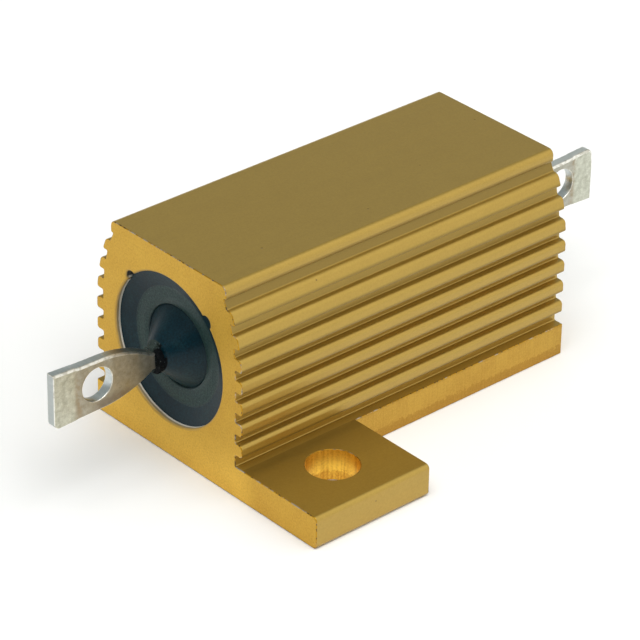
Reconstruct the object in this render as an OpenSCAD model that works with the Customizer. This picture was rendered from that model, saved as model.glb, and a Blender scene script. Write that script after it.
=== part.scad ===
// Power resistor wound on a ceramic core and moulded into a finned aluminium housing.
// X runs along the housing, Z points up and the base rests on Z = 0.
// The origin is at the middle of the base.

/* [Housing] */
// Length of the housing
housing_length = 27; // [25:0.5:40]
// Height from the base to the top face
housing_height = 14.2; // [13.4:0.1:17]
// Width of the flat top ridge
ridge_width = 10.8; // [9.6:0.1:12]
// Height of the straight side of the top ridge
ridge_height = 0.85; // [0.7:0.05:1.2]
// Radius of the two long top edges
ridge_radius = 0.35; // [0.1:0.05:0.5]
// Width between the milled side faces above the base
base_width = 14; // [13.9:0.1:18]

/* [Cooling fins] */
// Number of fins on each side between the mounting tabs and the top ridge
fin_count = 7; // [4:1:8]
// Width across the tips of the lower fins
fin_width = 13.8; // [13.4:0.1:13.9]
// Depth of the grooves between the fins
groove_depth = 0.6; // [0.3:0.05:0.7]
// Width of the grooves between the fins
groove_width = 0.63; // [0.4:0.01:0.75]
// Height of the lowest groove, above the mounting tabs
lowest_groove = 0.8; // [0.5:0.05:1.2]
// Height above the base at which the fins begin to draw in
shoulder_height = 7.9; // [6:0.1:9]
// Radius of the fin tips
tip_radius = 0.16; // [0.05:0.01:0.25]
// Radius in the roots of the grooves
root_radius = 0.1; // [0.05:0.01:0.2]

/* [Mounting tabs] */
// Width across both mounting tabs
tab_span = 27.4; // [25:0.1:32]
// Length of each mounting tab along the housing
tab_length = 9.1; // [7:0.1:11]
// Thickness of the mounting tabs
tab_thickness = 2.2; // [1.6:0.1:2.4]
// Radius of the long outer edges of the tabs
tab_radius = 0.3; // [0.1:0.05:0.6]
// Diameter of the mounting holes
hole_diameter = 3.4; // [2.5:0.1:4]
// Distance between the mounting holes along the housing
hole_spacing = 17.7; // [17:0.1:18.4]
// Distance between the mounting holes across the housing
hole_gauge = 19.8; // [19:0.1:20.4]

/* [Bore] */
// Diameter of the bore through the housing
bore_diameter = 10.1; // [9:0.1:10.4]
// Height of the axis of the bore above the base
bore_height = 7.45; // [7.2:0.05:7.8]
// Depth of the two key grooves in the upper wall of the bore
key_depth = 0.32; // [0.1:0.01:0.5]

/* [Moulding] */
// Depth of the rim of the moulding below the end face of the housing
rim_depth = 0.4; // [0.1:0.05:1]
// Radius of the flat ring inside the sloping rim
ring_radius = 3.85; // [3.4:0.05:4.2]
// Depth of the flat ring below the end face of the housing
ring_depth = 0.75; // [0.3:0.05:1.2]
// Radius of the foot of the raised cone
cone_radius = 2.75; // [2.2:0.05:3.2]
// Depth of the small step at the foot of the cone
cone_step = 0.12; // [0.05:0.01:0.3]
// Height of the cone above the end face of the housing
cone_height = 0.9; // [0.5:0.05:1.2]
// Radius of the collar that closes round the terminal
collar_radius = 0.9; // [0.85:0.01:1.05]
// Height of the collar above the top of the cone
collar_height = 0.5; // [0.2:0.05:0.6]

/* [Resistance element] */
// Diameter of the ceramic core
core_diameter = 5; // [4:0.1:6]
// Length of the ceramic core
core_length = 19; // [15:0.5:20]
// Diameter of the resistance wire
wire_diameter = 0.3; // [0.2:0.05:0.4]
// Number of turns of resistance wire
wire_turns = 15; // [8:1:18]
// Thickness of the sheet of the end caps
cap_wall = 0.3; // [0.2:0.05:0.5]
// Length of core that each end cap covers
cap_overlap = 2.8; // [1.5:0.1:3.5]
// Running clearance between the wire and what lies next to it
wire_clearance = 0.02; // [0.01:0.01:0.05]

/* [Terminals] */
// Thickness of the terminals
blade_thickness = 0.7; // [0.5:0.05:0.8]
// Distance from the end face of the housing to the tip of the terminal
blade_reach = 8.95; // [8:0.05:14]
// How far the middle of the terminals lies below the axis of the bore
terminal_drop = 0.1; // [0:0.05:0.2]
// Width of the blade where its arched shoulder ends
blade_width = 3.4; // [2.8:0.05:4]
// Width of the blade at its tip
tip_width = 3.75; // [3:0.05:4.6]
// Radius of the arched shoulder
shoulder_radius = 7.4; // [5:0.05:8]
// Bare length of neck between the collar and the shoulder
bare_neck = 0.05; // [0:0.05:0.5]
// Width of the neck that runs through the moulding
neck_width = 1.08; // [0.8:0.02:1.1]
// Diameter of the eyes for the wires
eye_diameter = 2.26; // [1.6:0.02:2.6]
// Distance from the end face of the housing to the middle of the near eye
near_eye_reach = 5.7; // [5.4:0.05:6.3]
// Distance from the end face of the housing to the middle of the far eye
far_eye_reach = 6.05; // [5.4:0.05:6.3]
// Radius of the one rounded corner of the tip
corner_radius = 0.45; // [0.1:0.05:1]

/* [Hidden] */

$fn = 96;
arc_steps = 5;
over = 1;

half_length = housing_length / 2;
bore_radius = bore_diameter / 2;
fin_pitch = (housing_height - ridge_height - tab_thickness - lowest_groove) / fin_count;

// The fin tips of the upper fins lie on a circle that starts upright at shoulder_height
// and meets the side of the top ridge half way up.
drawn_in = (fin_width - ridge_width) / 2;
draw_rise = housing_height - ridge_height / 2 - shoulder_height;
draw_radius = (drawn_in ^ 2 + draw_rise ^ 2) / (2 * drawn_in);

core_radius = core_diameter / 2;
cap_radius = core_radius + cap_wall;
element_half = core_length / 2 + cap_wall;
winding_length = core_length - 2 * cap_overlap;

turn_steps = 16;
wire_sides = 6;
wire_radius = wire_diameter / 2;
coil_radius = core_radius / cos(180 / turn_steps) + wire_radius + wire_clearance;
sleeve_radius = coil_radius + wire_radius + wire_clearance;
coil_travel = winding_length - wire_diameter - 2 * wire_clearance;
coil_rings = wire_turns * turn_steps;

// Half the width of the housing across its fins at height z.
function tip_at(z) = z <= shoulder_height
    ? fin_width / 2
    : fin_width / 2 - draw_radius + sqrt(draw_radius ^ 2 - (z - shoulder_height) ^ 2);

// Top and bottom of groove k. Groove 0 stands on the mounting tabs.
function groove_top(k) = tab_thickness + lowest_groove + k * fin_pitch;
function groove_bottom(k) = k == 0 ? tab_thickness : groove_top(k) - groove_width;

// Half the width of the housing at the floor of groove k.
function floor_at(k) = tip_at((groove_top(k) + groove_bottom(k)) / 2) - groove_depth;

// Half the width at the tip of the rib above groove k, where the last rib is the top ridge.
function rib_tip(k, z) = k == fin_count ? ridge_width / 2 : tip_at(z);

function unit(v) = v / norm(v);

// Points of the arc of radius r that rounds corner b between its neighbours a and c.
function round_corner(a, b, c, r) =
    let (u = unit(a - b), v = unit(c - b))
    let (half = acos(u * v) / 2)
    let (middle = b + unit(u + v) * r / sin(half))
    let (from = b + u * r / tan(half) - middle, to = b + v * r / tan(half) - middle)
    let (start = atan2(from.y, from.x), swing = atan2(to.y, to.x) - start)
    let (turn = swing > 180 ? swing - 360 : swing < -180 ? swing + 360 : swing)
    [for (i = [0 : arc_steps]) middle + r * [cos(start + turn * i / arc_steps),
        sin(start + turn * i / arc_steps)]];

// A closed outline from corners [x, y, radius].
function rounded(corners) =
    let (n = len(corners))
    let (p = [for (corner = corners) [corner.x, corner.y]])
    [for (i = [0 : n - 1]) each corners[i].z == 0
        ? [p[i]]
        : round_corner(p[(i + n - 1) % n], p[i], p[(i + 1) % n], corners[i].z)];

// Corners of the right-hand side of the extrusion, from the base up to the top face.
side_corners = concat(
    [
        [tab_span / 2, 0, tab_radius],
        [tab_span / 2, tab_thickness, tab_radius],
    ],
    [
        for (k = [0 : fin_count])
            each [
                [floor_at(k), groove_bottom(k), root_radius],
                [floor_at(k), groove_top(k), root_radius],
                [rib_tip(k, groove_top(k)), groove_top(k), tip_radius],
                if (k < fin_count)
                    [rib_tip(k, groove_bottom(k + 1)), groove_bottom(k + 1), tip_radius],
            ]
    ],
    [[ridge_width / 2, housing_height, ridge_radius]]
);
side_count = len(side_corners);
mirrored_corners = [
    for (i = [1 : side_count])
        let (corner = side_corners[side_count - i])
        [-corner.x, corner.y, corner.z]
];

module along_x(length) {
    rotate([90, 0, 90]) linear_extrude(height = length, center = true) children();
}

// The bore and its two key grooves, seen along the housing.
module bore_outline() {
    key_side = bore_radius + key_depth;
    translate([0, bore_height]) {
        circle(r = bore_radius);
        for (angle = [45, 135])
            rotate(angle)
                polygon([[0, -key_side], [key_side, 0], [0, key_side]]);
    }
}

module turned(profile) {
    translate([0, 0, bore_height])
        rotate([0, 90, 0])
            rotate_extrude()
                polygon(profile);
}

module on_axis() {
    translate([0, 0, bore_height]) children();
}

// The flanges are milled away along both sides to leave one tab at opposite corners.
module milled_clearance() {
    cut_length = housing_length - tab_length + over;
    cut_depth = (tab_span - base_width) / 2 + over;
    for (turn = [0, 180])
        rotate(turn)
            translate([tab_length - half_length, -base_width / 2 - cut_depth, -over])
                cube([cut_length, cut_depth, tab_thickness + over + lowest_groove / 2]);
}

module mounting_holes() {
    for (turn = [0, 180])
        rotate(turn)
            translate([-hole_spacing / 2, -hole_gauge / 2, -over])
                cylinder(d = hole_diameter, h = tab_thickness + 2 * over);
}

module housing() {
    color("goldenrod")
        difference() {
            along_x(housing_length) polygon(rounded(concat(side_corners, mirrored_corners)));
            along_x(housing_length + 2 * over) bore_outline();
            milled_clearance();
            mounting_holes();
        }
}

// One end of the moulding as [distance from the middle, radius], from the collar outwards.
end_profile = [
    [half_length + cone_height + collar_height, 0],
    [half_length + cone_height + collar_height, collar_radius],
    [half_length + cone_height, collar_radius + 0.1],
    [half_length - ring_depth - cone_step, cone_radius - cone_step / 2],
    [half_length - ring_depth, cone_radius],
    [half_length - ring_depth, ring_radius],
    [half_length - rim_depth, bore_radius],
    [half_length - rim_depth, bore_radius + over],
];

module moulding() {
    near_end = [for (point = end_profile) [point[1], -point[0]]];
    far_end = [for (i = [1 : len(end_profile)]) let (point = end_profile[len(end_profile) - i])
        [point[1], point[0]]];
    color("darkslategray")
        difference() {
            intersection() {
                turned(concat(near_end, far_end));
                along_x(housing_length + 4 * over) bore_outline();
            }
            turned(element_profile);
            terminal_neck();
            mirror([1, 0, 0]) terminal_neck();
        }
}

// The space that the core, its winding and its caps take up inside the moulding.
element_profile = [
    [0, -element_half],
    [cap_radius, -element_half],
    [cap_radius, -winding_length / 2],
    [sleeve_radius, -winding_length / 2],
    [sleeve_radius, winding_length / 2],
    [cap_radius, winding_length / 2],
    [cap_radius, element_half],
    [0, element_half],
];

module ceramic_core() {
    color("ivory")
        on_axis()
            rotate([0, 90, 0])
                cylinder(r = core_radius, h = core_length, center = true);
}

// Centre of ring i of the wire, measured from the axis of the bore.
function coil_angle(i) = 360 * i / turn_steps;
function coil_x(i) = coil_travel * (i / coil_rings - 0.5);
wire_points = [
    for (i = [0 : coil_rings], j = [0 : wire_sides - 1])
        let (spread = 360 * j / wire_sides)
        let (radius = coil_radius + wire_radius * cos(spread))
        [
            coil_x(i) + wire_radius * sin(spread),
            radius * cos(coil_angle(i)),
            radius * sin(coil_angle(i)),
        ]
];
function wire_index(i, j) = i * wire_sides + j % wire_sides;
wire_walls = [
    for (i = [0 : coil_rings - 1], j = [0 : wire_sides - 1])
        each [
            [wire_index(i, j), wire_index(i, j + 1), wire_index(i + 1, j + 1)],
            [wire_index(i, j), wire_index(i + 1, j + 1), wire_index(i + 1, j)],
        ]
];
wire_ends = [
    [for (j = [0 : wire_sides - 1]) wire_index(0, wire_sides - 1 - j)],
    [for (j = [0 : wire_sides - 1]) wire_index(coil_rings, j)],
];

module resistance_winding() {
    color("silver")
        on_axis()
            polyhedron(points = wire_points, faces = concat(wire_walls, wire_ends));
}

// A drawn cup pressed over one end of the core.
module end_cap() {
    color("gainsboro")
        turned([
            [0, -element_half],
            [cap_radius, -element_half],
            [cap_radius, -winding_length / 2],
            [core_radius, -winding_length / 2],
            [core_radius, -core_length / 2],
            [0, -core_length / 2],
        ]);
}

module end_cap_near() {
    end_cap();
}

module end_cap_far() {
    mirror([1, 0, 0]) end_cap();
}

// Outline of the blade beyond its neck: [distance from the end face, half width].
neck_drop = (blade_width - neck_width) / 2;
shoulder_run = sqrt(2 * shoulder_radius * neck_drop - neck_drop ^ 2);
shoulder_sweep = asin(shoulder_run / shoulder_radius);
shoulder_reach = cone_height + collar_height + bare_neck + shoulder_run;
shoulder_steps = 12;
function shoulder_point(i) =
    let (angle = shoulder_sweep * (1 - i / shoulder_steps))
    [
        shoulder_reach - shoulder_radius * sin(angle),
        blade_width / 2 - shoulder_radius * (1 - cos(angle)),
    ];
upper_side = [for (i = [0 : shoulder_steps]) shoulder_point(i)];
neck_inner = element_half - half_length;

// Seen from the front, with the radius of the upper and of the lower corner of the tip.
module terminal_outline(upper_corner, lower_corner) {
    upper = [for (point = upper_side) [point.x, point.y, 0]];
    lower = [for (i = [shoulder_steps : -1 : 0]) [upper_side[i].x, -upper_side[i].y, 0]];
    polygon(rounded(concat(
        [[neck_inner, neck_width / 2, 0]],
        upper,
        [[blade_reach, tip_width / 2, upper_corner], [blade_reach, -tip_width / 2, lower_corner]],
        lower,
        [[neck_inner, -neck_width / 2, 0]]
    )));
}

// A terminal at the far end. Its eye is level with the axis of the bore.
module terminal(eye_reach, upper_corner, lower_corner) {
    color("darkgray")
        on_axis()
            rotate([90, 0, 0])
                linear_extrude(height = blade_thickness, center = true)
                    translate([half_length, 0])
                        difference() {
                            translate([0, -terminal_drop])
                                terminal_outline(upper_corner, lower_corner);
                            translate([eye_reach, 0]) circle(d = eye_diameter);
                        }
}

// The neck alone, which the moulding closes round.
module terminal_neck() {
    neck_bottom = bore_height - terminal_drop - neck_width / 2;
    translate([element_half - over, -blade_thickness / 2, neck_bottom])
        cube([half_length, blade_thickness, neck_width]);
}

module terminal_near() {
    mirror([1, 0, 0]) terminal(near_eye_reach, 0, corner_radius);
}

module terminal_far() {
    terminal(far_eye_reach, corner_radius, 0);
}

housing();
moulding();
ceramic_core();
resistance_winding();
end_cap_near();
end_cap_far();
terminal_near();
terminal_far();
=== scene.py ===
import math

import bmesh
import bpy
from mathutils import Matrix, Vector


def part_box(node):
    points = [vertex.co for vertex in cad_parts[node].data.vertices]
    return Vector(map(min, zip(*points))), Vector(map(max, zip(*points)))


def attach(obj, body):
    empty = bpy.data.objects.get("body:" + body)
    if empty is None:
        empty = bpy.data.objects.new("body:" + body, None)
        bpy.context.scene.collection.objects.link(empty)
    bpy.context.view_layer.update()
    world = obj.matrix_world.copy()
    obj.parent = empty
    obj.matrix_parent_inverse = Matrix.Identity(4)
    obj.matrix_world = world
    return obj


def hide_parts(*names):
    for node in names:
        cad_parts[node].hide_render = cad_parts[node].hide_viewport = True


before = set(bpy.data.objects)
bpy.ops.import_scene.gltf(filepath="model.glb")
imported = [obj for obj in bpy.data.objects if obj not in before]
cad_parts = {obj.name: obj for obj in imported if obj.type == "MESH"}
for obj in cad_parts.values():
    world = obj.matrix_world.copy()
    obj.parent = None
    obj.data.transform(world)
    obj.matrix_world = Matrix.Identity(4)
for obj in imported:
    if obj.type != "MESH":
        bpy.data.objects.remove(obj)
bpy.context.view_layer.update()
mm = 0.001
tiny = 0.001 * mm                                         # what counts as the same place

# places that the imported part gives
housingLow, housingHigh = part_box("housing")
mouldingLow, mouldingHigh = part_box("moulding")
capLow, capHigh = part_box("end_cap_far")
windingLow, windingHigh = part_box("resistance_winding")
endFace = housingHigh.x                                   # the housing runs from -endFace to endFace
boreRadius = 5.05 * mm
boreHeight = mouldingLow.z + boreRadius
collarTop = mouldingHigh.x
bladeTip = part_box("terminal_far")[1].x
print("frame loaded with", len(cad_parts), "nodes")


# shader maths and nodes

class Value:
    # a socket that can be used in a sum
    def __init__(self, finish, socket):
        self.finish = finish
        self.socket = socket

    def math(self, operation, first, second):
        return self.finish.node("ShaderNodeMath", {"operation": operation}, {0: first, 1: second})

    def __add__(self, other):
        return self.math("ADD", self, other)

    def __radd__(self, other):
        return self.math("ADD", other, self)

    def __sub__(self, other):
        return self.math("SUBTRACT", self, other)

    def __rsub__(self, other):
        return self.math("SUBTRACT", other, self)

    def __mul__(self, other):
        return self.math("MULTIPLY", self, other)

    def __rmul__(self, other):
        return self.math("MULTIPLY", other, self)

    def __pow__(self, other):
        return self.math("POWER", self, other)

    def __rpow__(self, other):
        return self.math("POWER", other, self)

    def above(self, edge, soft):
        # 0 below the edge, 1 above it, with a soft step between them
        settings = {"interpolation_type": "SMOOTHSTEP"}
        steps = {"Value": self, "From Min": edge - soft, "From Max": edge + soft}
        return self.finish.node("ShaderNodeMapRange", settings, steps)

    def near(self, middle, reach, soft):
        # 1 within reach of the middle
        return 1 - (self - middle).size().above(reach, soft)

    def size(self):
        return self.math("ABSOLUTE", self, 0.0)

    def fraction(self):
        return self.math("FRACT", self, 0.0)

    def atLeast(self, least):
        return self.math("MAXIMUM", self, least)

    def hold(self):
        # kept between 0 and 1
        return self.finish.node("ShaderNodeClamp", {}, {"Value": self})


class Finish:
    # the nodes of one material, or of the world
    def __init__(self, owner):
        self.owner = owner
        owner.use_nodes = True
        self.tree = owner.node_tree
        self.tree.nodes.clear()

    def node(self, kind, settings, values, output=None):
        made = self.tree.nodes.new(kind)
        for name, setting in settings.items():
            setattr(made, name, setting)
        for name, value in values.items():
            if isinstance(name, int):
                socket = made.inputs[name]
            else:
                socket = next(s for s in made.inputs if s.enabled and s.name == name)
            if isinstance(value, Value):
                self.tree.links.new(value.socket, socket)
            else:
                socket.default_value = value
        shown = [s for s in made.outputs if s.enabled and output in (None, s.name)]
        return Value(self, shown[0]) if shown else None

    def place(self):
        # object coordinates in millimetres
        coordinates = self.node("ShaderNodeTexCoord", {}, {}, "Object")
        return self.stretch(coordinates, (1 / mm, 1 / mm, 1 / mm))

    def stretch(self, place, factors):
        return self.node("ShaderNodeVectorMath", {"operation": "MULTIPLY"}, {0: place, 1: factors})

    def along(self, place, axis):
        return self.node("ShaderNodeSeparateXYZ", {}, {"Vector": place}, axis)

    def fromBore(self, place):
        # distance from the axis of the bore in millimetres
        rise = self.along(place, "Z") - boreHeight / mm
        return (self.along(place, "Y") ** 2 + rise ** 2) ** 0.5

    def noise(self, place, scale, detail=2.0, roughness=0.5, distortion=0.0):
        values = {"Vector": place, "Scale": scale, "Detail": detail}
        values.update({"Roughness": roughness, "Distortion": distortion})
        return self.node("ShaderNodeTexNoise", {"noise_dimensions": "3D"}, values)

    def cells(self, place, scale, output):
        settings = {"voronoi_dimensions": "3D", "feature": "F1"}
        return self.node("ShaderNodeTexVoronoi", settings, {"Vector": place, "Scale": scale}, output)

    def specks(self, place, scale, share, reach):
        # small round marks: one cell in so many holds a mark
        chosen = self.along(self.cells(place, scale, "Color"), "X").above(1 - share, 0.01)
        return chosen * (1 - self.cells(place, scale, "Distance").above(reach, reach * 0.5))

    def blend(self, amount, first, second):
        colours = [c if isinstance(c, Value) else (*c, 1.0) for c in (first, second)]
        values = {"Factor": amount, "A": colours[0], "B": colours[1]}
        return self.node("ShaderNodeMix", {"data_type": "RGBA"}, values)

    def bump(self, height):
        # the height is in millimetres
        return self.node("ShaderNodeBump", {}, {"Height": height, "Distance": mm, "Strength": 1.0})

    def surface(self, values):
        shader = self.node("ShaderNodeBsdfPrincipled", {}, values)
        self.node("ShaderNodeOutputMaterial", {}, {"Surface": shader})
        return self.owner


def newFinish(name):
    return Finish(bpy.data.materials.new(name))


# the gold finish is dyed and sealed over surfaces that reflect differently
goldSurfaces = {
    "extruded": {
        "colour": (0.475, 0.309, 0.055), "deep": (0.38, 0.238, 0.036),
        "metallic": 0.72, "roughness": 0.36, "grain": (0.05, 4.0, 4.0),
        "grainDepth": 0.0014, "gritDepth": 0.0012, "streak": 0.4, "mottle": 0.35,
        "coat": 0.35, "marks": 0.03, "fleck": 1.2,
    },
    "sawn": {
        "colour": (0.665, 0.409, 0.054), "deep": (0.515, 0.281, 0.027), "metallic": 1.0, "roughness": 0.5,
        "grain": (1.0, 0.6, 5.0), "grainDepth": 0.0012, "gritDepth": 0.0022, "streak": 0.3, "mottle": 0.8,
        "coat": 0.15, "marks": 0.04, "fleck": 2.2,
    },
    "milled": {
        "colour": (0.575, 0.350, 0.052), "deep": (0.385, 0.200, 0.019),
        "metallic": 1.0, "roughness": 0.42, "grain": (7.0, 7.0, 0.15),
        "grainDepth": 0.0030, "gritDepth": 0.0012, "streak": 0.9, "mottle": 0.9,
        "coat": 0.2, "marks": 0.04, "fleck": 1.4,
    },
    "drilled": {
        "colour": (1.0, 0.68, 0.10), "deep": (0.50, 0.24, 0.02), "metallic": 1.0, "roughness": 0.42,
        "grain": (5.0, 5.0, 0.12), "grainDepth": 0.008, "gritDepth": 0.002, "streak": 1.8, "mottle": 1.0,
        "coat": 0.2, "marks": 0.08, "fleck": 1.2,
    },
}


goldMarks = {
    "pinhole": (0.10, 0.055, 0.015), "finShadeColour": (0.16, 0.105, 0.016), "tabShadeColour": (0.16, 0.095, 0.012),
    "bounceLightSawn": (0.88, 0.58, 0.09), "bounceLightDeep": (0.66, 0.38, 0.048),
    "thinDye": (0.50, 0.31, 0.09), "tanLip": (0.56, 0.43, 0.23), "bareLip": (0.94, 0.90, 0.79),
    "keyGrooveShadeColour": (0.012, 0.016, 0.018), "bareEdge": (0.50, 0.49, 0.44), "edgeNick": (0.14, 0.09, 0.04),
}


def paintedFinShade(finish, place, colour):
    # painted shade: the lower sides of the fins, the floors of the upper grooves and the tabs near the
    # body are darkened where shade falls
    rise = finish.along(place, "Z")
    across = finish.along(place, "Y").size()
    share = ((rise - lowestFin / mm) * (mm / finPitch)).fraction()
    drawnIn = (rise - housing["shoulderHeight"] / mm).atLeast(0.0) ** 2 * (0.5 * mm / finArc)
    recess = housing["finWidth"] / mm / 2 - drawnIn - across
    onFins = rise.above(lowestFin / mm - 0.1, 0.05)
    lowerSide = (1 - share.above(0.16, 0.05)) * onFins
    grooveFloor = share.above(0.6, 0.02) * recess.above(0.28, 0.06) * rise.above(8.5, 1.0)
    topGroove = rise.above(12.6, 0.05)
    nearBody = (1 - across.above(9.2, 2.0)) * across.above(6.95, 0.02) * (1 - onFins)
    colour = finish.blend(lowerSide * 0.5, colour, goldMarks["finShadeColour"])
    colour = finish.blend(grooveFloor * (0.35 + topGroove * 0.3), colour, goldMarks["finShadeColour"])
    return finish.blend(nearBody * 0.4, colour, goldMarks["tabShadeColour"])


def goldFinish(kind):
    look = goldSurfaces[kind]
    finish = newFinish("goldAnodised" + kind.capitalize())
    place = finish.place()
    grain = finish.noise(finish.stretch(place, look["grain"]), 1.0, 3.0, 0.6)
    mottle = finish.noise(place, 0.55, 3.0, 0.6)
    grit = finish.noise(place, 8.0, 2.0, 0.6)
    mark = finish.specks(place, 1.6, look["marks"], 0.09)
    shade = 0.75 + (grain - 0.5) * look["streak"] + (mottle - 0.5) * look["mottle"]
    shade = shade + (grit - 0.5) * look["fleck"]
    if kind == "milled":
        # painted shadow: milled faces darken above 2.1 mm, under the lowest fin
        shade = shade - finish.along(place, "Z").above(2.1, 0.15) * 0.45
    if kind in ("milled", "drilled"):
        # the cutter leaves a ragged line where it breaks through
        ragged = finish.along(place, "Z") + (finish.noise(place, 3.0, 3.0, 0.7) - 0.5) * 1.2
        shade = shade - (1 - ragged.above(0.62, 0.12)) * (0.2 + mottle * 0.6)
        shade = shade - ragged.near(0.64, 0.03, 0.06) * 0.4
    colour = finish.blend(shade.hold(), look["deep"], look["colour"])
    if kind == "sawn":
        # painted light: the lower part of the body is a little paler on the end faces, standing in for
        # light from the floor
        low = (1 - finish.along(place, "Z").above(2.4, 1.6)) * finish.along(place, "Y").above(-7.5, 1.0)
        paintedBounce = finish.blend(shade.hold(), goldMarks["bounceLightDeep"], goldMarks["bounceLightSawn"])
        colour = finish.blend(low * 0.7, colour, paintedBounce)
    if kind == "extruded":
        colour = paintedFinShade(finish, place, colour)
    colour = finish.blend(mark * 0.7, colour, goldMarks["pinhole"])
    roughness = look["roughness"] + (grain - 0.5) * 0.15 + (grit - 0.5) * 0.1 + mark * 0.2
    height = grain * look["grainDepth"] + grit * look["gritDepth"] - mark * 0.01
    return finish.surface({
        "Base Color": colour, "Metallic": look["metallic"], "Roughness": roughness,
        "Coat Weight": look["coat"], "Coat Roughness": 0.35, "Normal": finish.bump(height),
    })


def boreFinish():
    # dyed at the mouth, then bare down to the moulding, with painted shade in the key grooves
    look = goldSurfaces["sawn"]
    finish = newFinish("boreWall")
    place = finish.place()
    wander = finish.noise(place, 1.4, 2.0)
    depth = endFace / mm - finish.along(place, "X").size() + (wander - 0.5) * 0.10
    rise = finish.along(place, "Z") - boreHeight / mm
    lean = (0.5 + (rise - finish.along(place, "Y")) * 0.07).hold()
    bare = (depth + lean * 0.14).above(0.25, 0.03)
    grit = finish.noise(place, 9.0, 2.0)
    dyed = finish.blend(grit, goldMarks["thinDye"], look["colour"])
    dyed = finish.blend(depth.above(0.08, 0.05), dyed, goldMarks["tanLip"])
    colour = finish.blend(bare * (0.7 + grit * 0.3), dyed, goldMarks["bareLip"])
    # painted shade: near black and not metallic where the key grooves reach out past the bore
    keyGrooveShade = finish.fromBore(place).above(5.20, 0.05) * depth.above(0.06, 0.04)
    colour = finish.blend(keyGrooveShade * 0.92, colour, goldMarks["keyGrooveShadeColour"])
    return finish.surface({
        "Base Color": colour, "Metallic": (0.5 - bare * 0.45) * (1 - keyGrooveShade), "Roughness": 0.6,
        "Normal": finish.bump(grit * 0.003),
    })


def wornEdgeFinish():
    # the dye is thin or gone along the cut edges
    look = goldSurfaces["sawn"]
    finish = newFinish("wornEdge")
    place = finish.place()
    wear = finish.noise(place, 1.3, 3.0, 0.65).above(0.58, 0.08)
    nick = finish.noise(place, 5.0, 2.0).above(0.58, 0.04)
    dyed = finish.blend(nick, look["deep"], goldMarks["edgeNick"])
    colour = finish.blend(wear * 0.75, dyed, goldMarks["bareEdge"])
    return finish.surface({
        "Base Color": colour, "Metallic": 1.0, "Roughness": 0.42, "Normal": finish.bump(nick * -0.01),
    })


# edit helpers

def deselect():
    bpy.ops.object.select_all(action="DESELECT")


def activate(piece):
    deselect()
    piece.select_set(True)
    bpy.context.view_layer.objects.active = piece


def editing(piece):
    activate(piece)
    bpy.ops.object.mode_set(mode="EDIT")


def finishEditing():
    bpy.ops.object.mode_set(mode="OBJECT")


def pick(piece, kind, test, sharp=0):
    # selects in edit mode the faces, edges or vertices that pass the test of place and normal
    bpy.ops.mesh.select_mode(type=kind)
    bpy.ops.mesh.select_all(action="DESELECT")
    shape = bmesh.from_edit_mesh(piece.data)
    if kind == "FACE":
        for face in shape.faces:
            face.select_set(bool(test(face.calc_center_median(), face.normal)))
    if kind == "EDGE":
        for edge in shape.edges:
            chosen = edge.calc_face_angle(0) >= math.radians(sharp)
            edge.select_set(chosen and all(test(corner.co, corner.normal) for corner in edge.verts))
    if kind == "VERT":
        for corner in shape.verts:
            corner.select_set(bool(test(corner.co, corner.normal)))
    shape.select_flush_mode()
    bmesh.update_edit_mesh(piece.data)


def fixPlace(piece):
    activate(piece)
    bpy.ops.object.transform_apply(location=True, rotation=True, scale=True)


def modify(piece, kind, settings):
    activate(piece)
    bpy.ops.object.modifier_add(type=kind)
    modifier = piece.modifiers[-1]
    for name, setting in settings.items():
        setattr(modifier, name, setting)
    bpy.ops.object.modifier_apply(modifier=modifier.name)


def cutAway(piece, cutter):
    modify(piece, "BOOLEAN", {"operation": "DIFFERENCE", "solver": "EXACT", "object": cutter})
    bpy.data.objects.remove(cutter)


def weighEdges(piece, sharp, weight, test):
    # adds to the bevel weight of the sharp edges that pass the test
    pick(piece, "EDGE", test, sharp)
    bpy.ops.transform.edge_bevelweight(value=weight)


def closeShading(piece, angle):
    activate(piece)
    bpy.ops.object.shade_smooth_by_angle(angle=math.radians(angle))
    modify(piece, "WEIGHTED_NORMAL", {"keep_sharp": True, "weight": 60})


def handOver(piece, slotName, *nodes):
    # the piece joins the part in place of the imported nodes
    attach(piece, "root")
    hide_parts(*nodes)


def fromAxis(place):
    return math.hypot(place.y, place.z - boreHeight)


# camera and stage

view = {
    "azimuth": -41.9636, "elevation": 30.6139, "roll": 0.9960,
    "aim": Vector((-1.1158, 0.0755, 4.8341)) * mm, "distance": 223.676 * mm, "lens": 200.206,
}


def makeCamera():
    data = bpy.data.cameras.new("camera")
    data.lens = view["lens"]
    data.sensor_width = 36
    data.clip_start = 0.01
    data.clip_end = 20
    camera = bpy.data.objects.new("camera", data)
    bpy.context.scene.collection.objects.link(camera)
    turn = Matrix.Rotation(math.radians(view["azimuth"]), 4, "Z")
    turn = turn @ Matrix.Rotation(math.radians(90 - view["elevation"]), 4, "X")
    turn = turn @ Matrix.Rotation(math.radians(view["roll"]), 4, "Z")
    back = turn @ Vector((0, 0, 1))
    camera.matrix_world = Matrix.Translation(view["aim"] + back * view["distance"]) @ turn
    bpy.context.scene.camera = camera


stage = {
    "floorSize": 3.0, "floorColour": (0.94, 0.94, 0.94), "floorSeen": (1.0, 1.0, 1.0),
    "horizon": (0.90, 0.91, 0.92), "upper": (0.325, 0.347, 0.330),
    "window": (0.57, -0.62, 0.54), "windowColour": (1.12, 1.12, 1.08),
    "darkSide": (-0.80, -0.45, 0.38), "dark": 0.9,
}
lamps = {
    "overhead": {"place": (-0.20, -0.20, 0.85), "size": 0.8, "power": 6.5},
}


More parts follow.
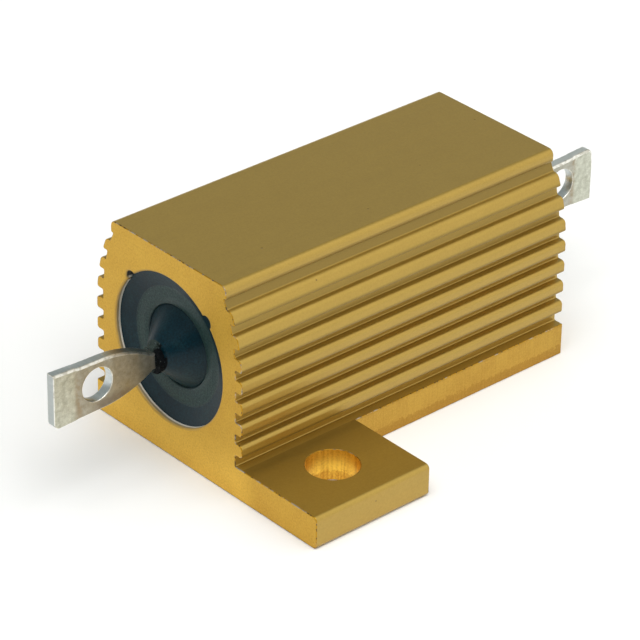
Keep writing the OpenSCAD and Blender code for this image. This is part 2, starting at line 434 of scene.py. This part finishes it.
def makeStage():
    deselect()
    bpy.ops.mesh.primitive_plane_add(size=stage["floorSize"], location=(0, 0, housingLow.z - 0.02 * mm))
    floor = bpy.context.object
    floor.name = "floor"
    fixPlace(floor)
    finish = newFinish("paleFloor")
    # the floor's own colour lights the part, and the camera and reflections see the whiter one
    seen = 0
    for ray in ("Is Camera Ray", "Is Glossy Ray", "Is Transmission Ray"):
        seen = seen + finish.node("ShaderNodeLightPath", {}, {}, ray)
    colour = finish.blend(seen, stage["floorColour"], stage["floorSeen"])
    floor.data.materials.append(finish.surface({"Base Color": colour, "Roughness": 0.9}))


def makeWorld():
    # pale near the floor, greyer above, with a broad window on one side and a dark wall on another
    world = bpy.data.worlds.new("studio")
    bpy.context.scene.world = world
    light = Finish(world)
    direction = light.node("ShaderNodeTexCoord", {}, {}, "Generated")

    def facing(side, edge, soft):
        values = {0: direction, 1: Vector(side).normalized()}
        match = light.node("ShaderNodeVectorMath", {"operation": "DOT_PRODUCT"}, values, "Value")
        return match.above(edge, soft)

    colour = light.blend(light.along(direction, "Z").above(0.18, 0.12), stage["horizon"], stage["upper"])
    colour = light.blend(facing(stage["window"], 0.75, 0.20), colour, stage["windowColour"])
    strength = 1 - facing(stage["darkSide"], 0.75, 0.15) * stage["dark"]
    shine = light.node("ShaderNodeBackground", {}, {"Color": colour, "Strength": strength})
    light.node("ShaderNodeOutputWorld", {}, {"Surface": shine})


def makeLamps():
    for name, lamp in lamps.items():
        data = bpy.data.lights.new(name, "AREA")
        data.size = lamp["size"]
        data.energy = lamp["power"]
        data.shape = "SQUARE"
        made = bpy.data.objects.new(name, data)
        bpy.context.scene.collection.objects.link(made)
        made.location = lamp["place"]
        made.rotation_euler = (-made.location).to_track_quat("-Z", "Y").to_euler()


makeCamera()
makeStage()
makeWorld()
makeLamps()
bpy.context.scene.view_settings.view_transform = "Standard"
print("camera, floor and light are set")


# housing: one extrusion, sawn off, milled along both sides, drilled and anodised

housing = {
    "finCount": 7, "grooveWidth": 0.62 * mm, "lowestGroove": 0.8 * mm, "finWidth": 13.8 * mm,
    "shoulderHeight": 7.9 * mm, "ridgeWidth": 10.8 * mm, "ridgeHeight": 0.85 * mm,
    "ridgeUndercut": 0.2 * mm, "ridgeRadius": 0.4 * mm,
    "grooveDepth": 0.6 * mm, "topGrooveDepth": 0.43 * mm,
    "finTopRadius": 0.28 * mm, "finLowerRadius": 0.20 * mm, "rootRadius": 0.09 * mm,
    "tabTop": 2.2 * mm, "tabLength": 9.1 * mm, "tabRadius": 0.3 * mm, "milledSide": 7.0 * mm,
    "holeX": 8.85 * mm, "holeY": 9.9 * mm, "holeRadius": 1.7 * mm,
    "keyRadius": 0.42 * mm, "keyReach": 5.40 * mm,
    "edgeBreak": 0.055 * mm, "holeBreak": 0.03 * mm, "boreBreak": 0.13 * mm,
    "boreSides": 96, "holeSides": 64, "keySides": 32, "cornerSteps": 6, "sharpAngle": 40,
}


# the fins stand at an even pitch and draw in along an arc above the shoulder
lowestFin = housing["tabTop"] + housing["lowestGroove"]
finPitch = (housingHigh.z - housing["ridgeHeight"] - lowestFin) / housing["finCount"]
finDraw = (housing["finWidth"] - housing["ridgeWidth"]) / 2
finRise = housingHigh.z - housing["ridgeHeight"] / 2 - housing["shoulderHeight"]
finArc = (finDraw ** 2 + finRise ** 2) / (2 * finDraw)


def finTip(z):
    # half the width across the fins
    above = max(0, z - housing["shoulderHeight"])
    return housing["finWidth"] / 2 - finArc + math.sqrt(finArc ** 2 - above ** 2)


def housingRibs():
    # (bottom, top, half width at each, depth) of all that stands out from the core, from the base up
    size = housing
    tabDepth = housingHigh.y - finTip(0) + size["grooveDepth"]
    ribs = [(0, size["tabTop"], housingHigh.y, housingHigh.y, tabDepth)]
    for fin in range(size["finCount"]):
        low = lowestFin + fin * finPitch
        high = low + finPitch - size["grooveWidth"]
        share = min(1, max(0, (low - size["shoulderHeight"]) / (4 * mm)))
        depth = size["grooveDepth"] + (size["topGrooveDepth"] - size["grooveDepth"]) * share
        ribs.append((low, high, finTip(low), finTip(high), depth))
    side = size["ridgeWidth"] / 2
    ribs.append((housingHigh.z - size["ridgeHeight"], housingHigh.z, side, side, size["ridgeUndercut"]))
    return ribs


def roundCorners(piece, radius, test):
    pick(piece, "VERT", test)
    bpy.ops.mesh.bevel(
        offset=radius, offset_type="OFFSET", segments=housing["cornerSteps"], affect="VERTICES")


def housingProfile():
    # the core is drawn upwards rib by rib, then each rib is drawn outwards on both sides
    size = housing
    ribs = housingRibs()
    low, high, lowTip, highTip, depth = ribs[0]
    deselect()
    bpy.ops.mesh.primitive_plane_add(
        size=1, location=(-endFace, 0, high / 2), rotation=(0, math.pi / 2, 0))
    piece = bpy.context.object
    piece.name = "finnedHousing"
    piece.scale = (high, 2 * (lowTip - depth), 1)
    fixPlace(piece)
    editing(piece)
    pick(piece, "EDGE", lambda place, normal: place.z > high - tiny)
    z = high
    half = lowTip - depth
    for low, high, lowTip, highTip, depth in ribs[1:]:
        for nextZ, nextHalf in ((low, lowTip - depth), (high, highTip - depth)):
            bpy.ops.mesh.extrude_edges_move(TRANSFORM_OT_translate={"value": (0, 0, nextZ - z)})
            bpy.ops.transform.resize(value=(1, nextHalf / half, 1), center_override=(-endFace, 0, nextZ))
            z = nextZ
            half = nextHalf
    for low, high, lowTip, highTip, depth in ribs:
        for side in (-1, 1):
            pick(piece, "EDGE", lambda place, normal: (
                side * place.y > 0 and low - tiny < place.z < high + tiny))
            bpy.ops.mesh.extrude_edges_move(TRANSFORM_OT_translate={"value": (0, side * depth, 0)})
    bpy.ops.mesh.select_all(action="SELECT")
    bpy.ops.mesh.dissolve_limited(angle_limit=math.radians(0.1), delimit=set())
    ridgeSide = size["ridgeWidth"] / 2

    def onCore(place, normal):
        # middle points of the top and of the base, which the outline doesn't need
        onTop = place.z > housingHigh.z - tiny and abs(place.y) < ridgeSide - tiny
        return onTop or place.z < tiny and abs(place.y) < size["milledSide"]

    pick(piece, "VERT", onCore)
    bpy.ops.mesh.dissolve_verts()

    tops = [rib[1] for rib in ribs[1:-1]]
    lows = [rib[0] for rib in ribs[1:]]

    def corner(heights, place, outward):
        # the corners are still sharp where they are picked
        atHeight = any(abs(place.z - height) < tiny for height in heights)
        tip = ridgeSide if place.z > lows[-1] - tiny else finTip(place.z)
        return atHeight and outward == (abs(place.y) > tip - 10 * tiny)

    roundCorners(piece, size["rootRadius"], lambda place, normal: (
        corner(lows + tops + [size["tabTop"]], place, False) and abs(place.y) < size["milledSide"]))
    roundCorners(piece, size["finTopRadius"], lambda place, normal: corner(tops, place, True))
    roundCorners(piece, size["finLowerRadius"], lambda place, normal: corner(lows, place, True))
    roundCorners(piece, size["tabRadius"], lambda place, normal: abs(place.y) > size["milledSide"])
    roundCorners(piece, size["ridgeRadius"], lambda place, normal: place.z > housingHigh.z - tiny)
    finishEditing()
    return piece


def cutBox(piece, low, high):
    deselect()
    bpy.ops.mesh.primitive_cube_add(size=1, location=(low + high) / 2, scale=high - low)
    box = bpy.context.object
    fixPlace(box)
    cutAway(piece, box)


def cutRound(piece, radius, depth, place, turn, sides):
    deselect()
    bpy.ops.mesh.primitive_cylinder_add(
        vertices=sides, radius=radius, depth=depth, location=place, rotation=turn)
    drill = bpy.context.object
    fixPlace(drill)
    cutAway(piece, drill)


def atHole(place):
    distance = math.hypot(abs(place.x) - housing["holeX"], abs(place.y) - housing["holeY"])
    return distance < housing["holeRadius"] * 1.02


def atBore(place):
    return fromAxis(place) < housing["keyReach"] + 0.2 * mm


def atBoreLip(place):
    return atBore(place) and abs(place.x) > endFace - mm


def housingSurface(middle, normal):
    # which surface of the housing a face belongs to
    if abs(normal.z) < 0.1 and atHole(middle):
        return "drilled"
    if abs(normal.x) > 0.9:
        return "sawn" if abs(middle.x) > endFace - mm else "milled"
    if atBore(middle):
        return "bore"
    onSide = abs(normal.y) > 0.9 and abs(middle.y) < housing["milledSide"] * 1.05
    if onSide and middle.z < housing["tabTop"]:
        return "milled"
    return "extruded"


def makeHousing():
    size = housing
    piece = housingProfile()
    editing(piece)
    bpy.ops.mesh.select_all(action="SELECT")
    bpy.ops.mesh.extrude_region_move(TRANSFORM_OT_translate={"value": (2 * endFace, 0, 0)})
    bpy.ops.mesh.select_all(action="SELECT")
    bpy.ops.mesh.normals_make_consistent(inside=False)
    finishEditing()
    through = 2.2 * endFace
    alongX = (0, math.pi / 2, 0)
    cutRound(piece, boreRadius, through, (0, 0, boreHeight), alongX, size["boreSides"])
    for side in (-1, 1):
        spoke = Vector((0, side, 1)).normalized() * (size["keyReach"] - size["keyRadius"])
        key = spoke + Vector((0, 0, boreHeight))
        cutRound(piece, size["keyRadius"], through, key, alongX, size["keySides"])
        # the flange is milled away but for one tab on each side, at opposite ends
        ends = sorted((side * (endFace - size["tabLength"]), -side * (endFace + mm)))
        reach = sorted((side * size["milledSide"], side * (housingHigh.y + mm)))
        top = size["tabTop"] + size["lowestGroove"] / 2
        cutBox(piece, Vector((ends[0], reach[0], -mm)), Vector((ends[1], reach[1], top)))
        hole = (side * size["holeX"], side * size["holeY"], 0)
        cutRound(piece, size["holeRadius"], 3 * top, hole, (0, 0, 0), size["holeSides"])
    editing(piece)
    full = size["boreBreak"]                              # the widest break has the weight 1
    sharp = size["sharpAngle"]
    weighEdges(piece, sharp, size["edgeBreak"] / full, (
        lambda place, normal: not atHole(place) and not atBore(place)))
    weighEdges(piece, sharp, size["holeBreak"] / full, lambda place, normal: atHole(place))
    weighEdges(piece, sharp, 1.0, lambda place, normal: (
        atBore(place) and abs(place.x) > endFace - tiny))
    finishEditing()
    kinds = [*goldSurfaces, "bore", "edge"]
    piece.data.materials.clear()
    for kind in goldSurfaces:
        piece.data.materials.append(goldFinish(kind))
    piece.data.materials.append(boreFinish())
    piece.data.materials.append(wornEdgeFinish())
    for face in piece.data.polygons:
        face.material_index = kinds.index(housingSurface(face.center, face.normal))
    modify(piece, "BEVEL", {
        "width": size["boreBreak"], "segments": 3, "limit_method": "WEIGHT",
        "use_clamp_overlap": False, "material": kinds.index("edge"),
    })
    for face in piece.data.polygons:
        if face.material_index == kinds.index("edge") and atBoreLip(face.center):
            face.material_index = kinds.index("bore")
    closeShading(piece, sharp)
    handOver(piece, "gold_anodised_aluminium", "housing")


makeHousing()
print("housing made")


# moulding: turned about the bore, with a sunk rim and ring and a raised cone at each end

moulding = {
    "rimDepth": 0.36 * mm, "ringRadius": 3.85 * mm, "ringDepth": 0.75 * mm,
    "coneRadius": 2.75 * mm, "coneStep": 0.12 * mm, "coneTopRadius": 1.0 * mm, "coneHeight": 0.9 * mm,
    "collarRadius": 0.9 * mm, "collarDrop": 0.2 * mm, "collarReach": 1.3 * mm,
    "keyDepth": 0.32 * mm, "softness": 0.22 * mm, "lumpSize": 0.35 * mm, "lumpHeight": 0.35 * mm,
    "sides": 96, "elementSides": 64, "sharpAngle": 35,
}
neck = {"thickness": 0.7 * mm, "width": 1.08 * mm, "drop": 0.1 * mm}
mouldingLook = {
    "deep": (0.0006, 0.015, 0.026), "pale": (0.003, 0.032, 0.045), "bloomAndSheen": (0.028, 0.064, 0.058),
    "paintedStepHighlight": (0.06, 0.09, 0.085), "pore": (0.001, 0.007, 0.009), "dust": (0.14, 0.17, 0.18),
    "collarPaintedShade": (0.0002, 0.0012, 0.002), "tornPale": (0.035, 0.050, 0.044), "crumb": (0.09, 0.12, 0.13),
}


def mouldingFinish():
    look = mouldingLook
    finish = newFinish("mouldingCompound")
    place = finish.place()
    cloud = finish.noise(place, 0.9, 3.0, 0.6)
    grit = finish.noise(place, 8.0, 3.0, 0.7)
    dust = finish.specks(place, 2.2, 0.05, 0.06)
    radius = finish.fromBore(place) + (cloud - 0.5) * 0.2
    ring = radius.above(2.72, 0.05) * (1 - radius.above(3.88, 0.08))
    # painted light: the lower part of the cone is lightened, standing in for a sheen; the paler ring is
    # partly a dust film and partly painted shading
    low = ((boreHeight / mm - finish.along(place, "Z")) * 0.3).hold() * (1 - radius.above(2.72, 0.05))
    bloomAndSheen = (ring * 0.95 + (cloud - 0.5) * 0.7 + low * 0.75).hold()
    # painted highlight: thin pale lines at the foot of the cone and at the outer edge of the ring
    paintedStepHighlight = radius.near(2.80, 0.02, 0.03) + radius.near(3.90, 0.02, 0.03)
    colour = finish.blend(cloud, look["deep"], look["pale"])
    colour = finish.blend(bloomAndSheen, colour, look["bloomAndSheen"])
    colour = finish.blend(paintedStepHighlight * 0.5, colour, look["paintedStepHighlight"])
    colour = finish.blend(grit.above(0.5, 0.15) * 0.6, colour, look["pore"])
    colour = finish.blend(dust * 0.6, colour, look["dust"])
    return finish.surface({
        "Base Color": colour, "Roughness": 0.36 + (cloud - 0.5) * 0.2 + (grit - 0.5) * 0.15, "IOR": 1.5,
        "Specular IOR Level": 0.20, "Normal": finish.bump(grit * 0.007 + cloud * 0.016 + dust * 0.01),
    })


def tornFinish():
    finish = newFinish("tornCollar")
    place = finish.place()
    lumps = finish.noise(place, 6.0, 3.0, 0.7)
    # painted shade: the collar is near black in front of the blade and keeps the compound's grey-green
    # behind it
    behind = (finish.along(place, "Y") + (lumps - 0.5) * 0.8).above(-0.2, 0.15)
    colour = finish.blend(behind, mouldingLook["collarPaintedShade"], mouldingLook["tornPale"])
    colour = finish.blend(lumps.above(0.66, 0.03), colour, mouldingLook["crumb"])
    return finish.surface({
        "Base Color": colour, "Roughness": 0.7, "Specular IOR Level": 0.12,
        "Normal": finish.bump(lumps * 0.04),
    })


def turnedSkin(name, rings, sides):
    # a closed skin round the bore axis through rings (x, radius)
    start, radius = rings[0]
    deselect()
    bpy.ops.mesh.primitive_circle_add(
        vertices=sides, radius=radius, location=(start, 0, boreHeight), rotation=(0, math.pi / 2, 0))
    piece = bpy.context.object
    piece.name = name
    fixPlace(piece)
    editing(piece)
    bpy.ops.mesh.select_mode(type="EDGE")
    bpy.ops.mesh.select_all(action="SELECT")
    for (x, radius), (nextX, nextRadius) in zip(rings, rings[1:]):
        bpy.ops.mesh.extrude_edges_move(TRANSFORM_OT_translate={"value": (nextX - x, 0, 0)})
        growth = nextRadius / radius
        bpy.ops.transform.resize(value=(1, growth, growth), center_override=(nextX, 0, boreHeight))
    for end in (rings[0][0], rings[-1][0]):
        pick(piece, "VERT", lambda place, normal: (
            abs(place.x - end) < 0.1 * tiny and fromAxis(place) < radius * 1.01))
        bpy.ops.mesh.edge_face_add()
    bpy.ops.mesh.select_all(action="SELECT")
    bpy.ops.mesh.normals_make_consistent(inside=False)
    finishEditing()
    return piece


def endRings():
    # one end from the middle of the collar out to the rim
    size = moulding
    foot = endFace - size["ringDepth"]
    collarEnd = endFace + size["collarReach"]
    coneTop = endFace + size["coneHeight"]
    coneEdge = coneTop - 0.05 * mm
    coneFoot = foot - size["coneStep"]
    footRadius = size["coneRadius"] - size["coneStep"] / 2
    hollowEdge = size["ringRadius"] - size["softness"]
    rings = [
        (collarEnd, size["collarRadius"] * 0.72),
        (collarEnd - 0.02 * mm, size["collarRadius"] * 0.92),
        (collarEnd - 0.12 * mm, size["collarRadius"] * 0.98),
        (collarEnd - 0.24 * mm, size["collarRadius"]),
        (coneTop + 0.02 * mm, size["collarRadius"] * 1.02),
    ]
    for step in range(9):
        share = step / 8
        x = coneEdge + (coneFoot - coneEdge) * share
        rings.append((x, size["coneTopRadius"] + (footRadius - size["coneTopRadius"]) * share))
    rings += [
        (foot - 0.02 * mm, size["coneRadius"]),
        (foot, size["coneRadius"] + 0.03 * mm),
        (foot, (size["coneRadius"] + size["ringRadius"]) / 2),
    ]
    for step in range(9):
        share = step / 8
        radius = hollowEdge + (boreRadius - hollowEdge) * share
        lift = max(0.0, (radius - size["ringRadius"]) / (boreRadius - size["ringRadius"]))
        rings.append((foot + (size["ringDepth"] - size["rimDepth"]) * lift, radius))
    return rings


def elementRings():
    # the space inside that the wound element takes up
    capRadius = (capHigh.z - capLow.z) / 2
    sleeve = (windingHigh.z - windingLow.z) / 2 + 0.02 * mm
    return [
        (-capHigh.x, capRadius), (-capLow.x, capRadius), (-capLow.x, sleeve),
        (capLow.x, sleeve), (capLow.x, capRadius), (capHigh.x, capRadius),
    ]


def makeMoulding():
    outer = endRings()
    rings = outer + [(-x, radius) for x, radius in reversed(outer)]
    piece = turnedSkin("mouldingBody", rings, moulding["sides"])
    editing(piece)
    for side in (-1, 1):
        bearing = Vector((0, side, 1)).normalized()

        def onKey(place, normal):
            spoke = Vector((0, place.y, place.z - boreHeight))
            return spoke.length > boreRadius - tiny and spoke.normalized().dot(bearing) > 0.9999

        pick(piece, "VERT", onKey)
        bpy.ops.transform.translate(value=bearing * moulding["keyDepth"])
    coneTop = endFace + moulding["coneHeight"]
    pick(piece, "VERT", lambda place, normal: abs(place.x) > coneTop)
    bpy.ops.transform.translate(value=(0, 0, -moulding["collarDrop"]))
    finishEditing()
    collar = piece.vertex_groups.new(name="collar")
    torn = [vertex.index for vertex in piece.data.vertices if abs(vertex.co.x) > coneTop - 0.02 * mm]
    collar.add(torn, 1.0, "REPLACE")
    lumps = bpy.data.textures.new("collarLumps", "CLOUDS")
    lumps.noise_scale = moulding["lumpSize"]
    lumps.noise_depth = 3
    modify(piece, "DISPLACE", {
        "texture": lumps, "texture_coords": "LOCAL", "strength": moulding["lumpHeight"],
        "mid_level": 0.55, "vertex_group": "collar",
    })
    cutAway(piece, turnedSkin("elementSpace", elementRings(), moulding["elementSides"]))
    for side in (-1, 1):
        deselect()
        reach = collarTop + mm
        middle = (side * (capHigh.x + reach) / 2, 0, boreHeight - neck["drop"])
        length = reach - capHigh.x + 0.5 * mm
        bpy.ops.mesh.primitive_cube_add(
            size=1, location=middle, scale=(length, neck["thickness"], neck["width"]))
        slot = bpy.context.object
        fixPlace(slot)
        cutAway(piece, slot)
    piece.data.materials.append(mouldingFinish())
    piece.data.materials.append(tornFinish())
    for face in piece.data.polygons:
        face.material_index = 1 if abs(face.center.x) > coneTop - 0.03 * mm else 0
    closeShading(piece, moulding["sharpAngle"])
    handOver(piece, "silicone_moulding", "moulding")


makeMoulding()
print("moulding made")


# terminals: blanked from strip, coined at the tip and tinned

terminal = {
    "shoulderReach": 5.428 * mm, "shoulderRadius": 7.4 * mm,
    "bladeWidth": 3.4 * mm, "tipWidth": 3.75 * mm,
    "padReach": 7.3 * mm, "padSlope": 0.12 * mm, "padStep": 0.04 * mm, "padThickness": 0.94,
    "nearEyeReach": 5.7 * mm, "farEyeReach": 6.05 * mm, "eyeRadius": 1.13 * mm,
    "cornerRadius": 0.45 * mm, "rollover": 0.15 * mm, "edgeBreak": 0.05 * mm,
    "shoulderSteps": 16, "cornerSteps": 8, "eyeSides": 64, "sharpAngle": 35, "shadeAngle": 40,
}
terminalLook = {
    "wornDeep": (0.36, 0.34, 0.27), "wornPale": (0.52, 0.51, 0.44),
    "coinedDeep": (0.42, 0.42, 0.33), "coinedPale": (0.69, 0.70, 0.60),
    "stain": (0.38, 0.28, 0.16), "lowDarkening": (0.17, 0.14, 0.12),
    "shearedDeep": (0.52, 0.57, 0.58), "shearedPale": (0.74, 0.78, 0.77),
    "dullTip": (0.30, 0.31, 0.29), "paintedTopHighlight": (0.98, 1.0, 0.97),
    "dullNeck": (0.24, 0.25, 0.20), "copperTint": (0.44, 0.33, 0.19),
    "edgeDeep": (0.62, 0.60, 0.52), "edgePale": (0.86, 0.85, 0.78),
}


def tinFinish():
    look = terminalLook
    finish = newFinish("tinnedFace")
    place = finish.place()
    cloud = finish.noise(place, 0.9, 3.0, 0.65)
    patches = finish.noise(place, 2.6, 3.0, 0.6, 0.4)
    grit = finish.noise(place, 12.0, 3.0, 0.7)
    outward = finish.along(place, "X").size() - endFace / mm
    padReach = terminal["padReach"] / mm
    pad = outward.above(padReach, 0.15)
    stain = (outward + (cloud - 0.5)).near(padReach - 0.1, 0.2, 0.2) * cloud.above(0.5, 0.1)
    tone = (0.5 + (patches - 0.5) * 2.2 + (grit - 0.5) * 1.2).hold()
    worn = finish.blend(tone, look["wornDeep"], look["wornPale"])
    coined = finish.blend(tone, look["coinedDeep"], look["coinedPale"])
    colour = finish.blend(pad, worn, coined)
    colour = finish.blend(stain * 0.6, colour, look["stain"])
    # darker towards the lower edge of the blade, over its middle reach
    low = (boreHeight / mm - 1.15 - finish.along(place, "Z") + (patches - 0.5) * 1.2).above(0, 0.25)
    colour = finish.blend(low * outward.near(4.4, 1.4, 0.6) * 0.55, colour, look["lowDarkening"])
    return finish.surface({
        "Base Color": colour, "Metallic": 1.0,
        "Roughness": 0.42 + (cloud - 0.5) * 0.2 + (grit - 0.5) * 0.25,
        "Normal": finish.bump(patches * 0.012 + grit * 0.006),
    })


def shearedFinish():
    look = terminalLook
    finish = newFinish("shearedEdge")
    place = finish.place()
    drag = finish.noise(finish.stretch(place, (5.0, 1.0, 5.0)), 1.0, 3.0, 0.6)
    grit = finish.noise(place, 10.0, 2.0)
    tone = (0.5 + (drag - 0.5) * 1.2 + (grit - 0.5) * 0.6).hold()
    colour = finish.blend(tone, look["shearedDeep"], look["shearedPale"])
    tip = finish.along(place, "X").size().above((bladeTip / mm) - 0.06, 0.04)
    colour = finish.blend(tip * 0.55, colour, look["dullTip"])
    # painted highlight: the top edge of the far terminal is lightened almost to white
    farOne = finish.along(place, "X").above(0, 1.0)
    paintedTopHighlight = farOne * finish.along(place, "Z").above(boreHeight / mm + 1.2, 0.1)
    colour = finish.blend(paintedTopHighlight * 0.8, colour, look["paintedTopHighlight"])
    outward = finish.along(place, "X").size() - endFace / mm + (drag - 0.5)
    colour = finish.blend((1 - outward.above(3.1, 0.4)) * 0.6, colour, look["dullNeck"])
    colour = finish.blend(outward.near(3.8, 0.5, 0.5) * 0.55, colour, look["copperTint"])
    return finish.surface({
        "Base Color": colour, "Metallic": 1.0, "Roughness": 0.36 + (grit - 0.5) * 0.2,
        "Normal": finish.bump(drag * 0.012 + grit * 0.004),
    })


def brightEdgeFinish():
    finish = newFinish("brightEdge")
    place = finish.place()
    wear = finish.noise(place, 3.0, 2.0).above(0.45, 0.1)
    colour = finish.blend(wear, terminalLook["edgeDeep"], terminalLook["edgePale"])
    return finish.surface({"Base Color": colour, "Metallic": 1.0, "Roughness": 0.36})


def bladeOutline():
    # (distance from the end face, half width) beyond the neck
    size = terminal
    drop = (size["bladeWidth"] - neck["width"]) / 2
    run = math.sqrt(2 * size["shoulderRadius"] * drop - drop ** 2)
    sweep = math.asin(run / size["shoulderRadius"])
    reach = bladeTip - endFace
    outline = []
    for step in range(size["shoulderSteps"] + 1):
        angle = sweep * (1 - step / size["shoulderSteps"])
        x = size["shoulderReach"] - size["shoulderRadius"] * math.sin(angle)
        outline.append((x, size["bladeWidth"] / 2 - size["shoulderRadius"] * (1 - math.cos(angle))))
    padStart = size["padReach"] - size["padSlope"]
    widening = (size["tipWidth"] - size["bladeWidth"]) / 2 / (reach - size["shoulderReach"])
    for x, step in ((padStart, -size["padStep"]), (size["padReach"], 0), (reach, 0)):
        outline.append((x, size["bladeWidth"] / 2 + widening * (x - size["shoulderReach"]) + step))
    return outline


def makeTerminal(name, node, side, eyeReach, cornerUp):
    size = terminal
    outline = bladeOutline()
    middle = boreHeight - neck["drop"]
    inner = capHigh.x
    neckEnd = endFace + outline[0][0]
    deselect()
    bpy.ops.mesh.primitive_plane_add(
        size=1, location=(side * (inner + neckEnd) / 2, 0, middle), rotation=(math.pi / 2, 0, 0))
    piece = bpy.context.object
    piece.name = name
    piece.scale = (neckEnd - inner, neck["width"], 1)
    fixPlace(piece)
    editing(piece)
    pick(piece, "EDGE", lambda place, normal: abs(place.x) > neckEnd - tiny)
    for (x, half), (nextX, nextHalf) in zip(outline, outline[1:]):
        bpy.ops.mesh.extrude_edges_move(TRANSFORM_OT_translate={"value": (side * (nextX - x), 0, 0)})
        tip = (side * (endFace + nextX), 0, middle)
        bpy.ops.transform.resize(value=(1, 1, nextHalf / half), center_override=tip)
    corner = 1 if cornerUp else -1
    pick(piece, "VERT", lambda place, normal: (
        abs(place.x) > bladeTip - tiny and (place.z - middle) * corner > 0))
    bpy.ops.mesh.bevel(
        offset=size["cornerRadius"], segments=size["cornerSteps"], affect="VERTICES")
    finishEditing()
    modify(piece, "SOLIDIFY", {"thickness": neck["thickness"], "offset": 0})
    editing(piece)
    pick(piece, "VERT", lambda place, normal: abs(place.x) > endFace + size["padReach"] - tiny)
    bpy.ops.transform.resize(value=(1, size["padThickness"], 1), center_override=(0, 0, middle))
    bpy.ops.mesh.select_all(action="SELECT")
    bpy.ops.mesh.normals_make_consistent(inside=False)
    finishEditing()
    deselect()
    bpy.ops.mesh.primitive_cylinder_add(
        vertices=size["eyeSides"], radius=size["eyeRadius"], depth=2 * mm,
        location=(side * (endFace + eyeReach), 0, boreHeight), rotation=(math.pi / 2, 0, 0))
    eye = bpy.context.object
    fixPlace(eye)
    cutAway(piece, eye)

    def rolled(place, normal):
        # the punch has drawn the front upper edge down
        fromEye = math.hypot(abs(place.x) - endFace - eyeReach, place.z - boreHeight)
        onBlade = abs(place.x) > neckEnd - tiny and fromEye > size["eyeRadius"] * 1.05
        return onBlade and place.y < 0 and place.z > middle

    broken = size["edgeBreak"] / size["rollover"]
    editing(piece)
    weighEdges(piece, size["sharpAngle"], broken, lambda place, normal: True)
    weighEdges(piece, size["sharpAngle"], 1 - broken, rolled)
    finishEditing()
    piece.data.materials.clear()
    piece.data.materials.append(tinFinish())
    piece.data.materials.append(shearedFinish())
    piece.data.materials.append(brightEdgeFinish())
    for face in piece.data.polygons:
        face.material_index = 0 if abs(face.normal.y) > 0.6 else 1
    modify(piece, "BEVEL", {
        "width": size["rollover"], "segments": 3, "limit_method": "WEIGHT",
        "use_clamp_overlap": False, "material": 2,
    })
    closeShading(piece, size["shadeAngle"])
    handOver(piece, "tinned_terminal", node)


makeTerminal("eyeTerminalNear", "terminal_near", -1, terminal["nearEyeReach"], False)
makeTerminal("eyeTerminalFar", "terminal_far", 1, terminal["farEyeReach"], True)
print("terminals made")


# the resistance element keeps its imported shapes

def ceramicFinish():
    finish = newFinish("unglazedCeramic")
    place = finish.place()
    grain = finish.noise(place, 6.0, 4.0, 0.7)
    pits = finish.specks(place, 2.0, 0.1, 0.08)
    colour = finish.blend(grain, (0.74, 0.70, 0.62), (0.86, 0.84, 0.78))
    height = grain * 0.01 - pits * 0.02
    return finish.surface({"Base Color": colour, "Roughness": 0.75, "Normal": finish.bump(height)})


def wireFinish():
    finish = newFinish("drawnWire")
    place = finish.place()
    drawn = finish.noise(finish.stretch(place, (8.0, 1.0, 1.0)), 2.0, 2.0)
    colour = finish.blend(drawn, (0.45, 0.43, 0.40), (0.62, 0.60, 0.56))
    return finish.surface({
        "Base Color": colour, "Metallic": 1.0, "Roughness": 0.3, "Normal": finish.bump(drawn * 0.003),
    })


def capFinish():
    finish = newFinish("platedCap")
    place = finish.place()
    drawn = finish.noise(finish.stretch(place, (0.4, 4.0, 4.0)), 1.5, 3.0)
    stain = finish.noise(place, 0.8, 3.0).above(0.6, 0.1)
    colour = finish.blend(drawn, (0.55, 0.55, 0.53), (0.70, 0.70, 0.68))
    colour = finish.blend(stain * 0.3, colour, (0.42, 0.38, 0.30))
    return finish.surface({
        "Base Color": colour, "Metallic": 1.0, "Roughness": 0.35 + stain * 0.15,
        "Normal": finish.bump(drawn * 0.004),
    })


def dress(node, material):
    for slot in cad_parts[node].material_slots:
        slot.link = "OBJECT"
        slot.material = material


dress("ceramic_core", ceramicFinish())
dress("resistance_winding", wireFinish())
plating = capFinish()
dress("end_cap_near", plating)
dress("end_cap_far", plating)
print("resistance element dressed")
